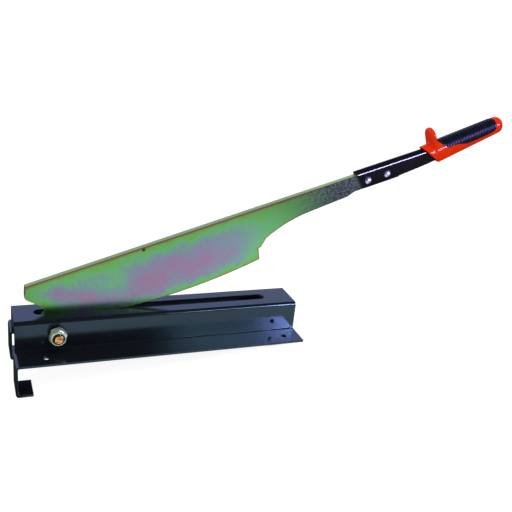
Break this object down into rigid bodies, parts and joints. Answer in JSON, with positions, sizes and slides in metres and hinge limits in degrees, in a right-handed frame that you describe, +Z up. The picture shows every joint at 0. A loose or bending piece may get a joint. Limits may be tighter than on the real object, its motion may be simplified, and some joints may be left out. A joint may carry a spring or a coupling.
{
  "type": "slate cutter",
  "caption": "Lever guillotine for roofing slates: hooked folded steel table with a long slot, pivoting steel blade, handle channel and guarded grip.",
  "frame": {"origin": "centre of the bounding box in plan, at the height of the undersides of the two hook feet, with the blade open as pictured", "axes": "+X along the table from the hooks to the handle, +Z up and square to the table, +Y away from the front, where the nut is"},
  "size_m": [0.6736, 0.124, 0.3403],
  "materials": {
    "black_paint": "black gloss paint",
    "yellow_zinc": "yellow passivated zinc with green and violet tints, satin",
    "zinc": "passivated zinc",
    "steel": "turned, oiled",
    "bronze": "bearing bronze, plain",
    "bright_zinc": "bright zinc",
    "nylon": "plain",
    "orange": "moulded, semi-gloss",
    "black_rubber": "ribbed, satin"
  },
  "bodies": {
    "base": {"base_frame": "black_paint", "pivot_bolt": "zinc", "pivot_nut": "zinc", "nut_lock_ring": "nylon", "front_washer": "zinc", "back_washer": "zinc", "front_spacer": "steel", "back_spacer": "steel", "front_thrust_washer": "bronze", "back_thrust_washer": "bronze"},
    "lever": {"blade": "yellow_zinc", "pivot_bush": "bronze", "handle_channel": "black_paint", "front_rivet": "bright_zinc", "rear_rivet": "bright_zinc", "grip_body": "orange", "grip_insert": "black_rubber"}
  },
  "joints": [
    {"name": "blade_pivot", "type": "hinge", "parent": "base", "child": "lever", "pos_m": [-0.28475, 0, 0.063], "axis": [0, 1, 0], "range_deg": [-23.3, 15.5]}
  ]
}
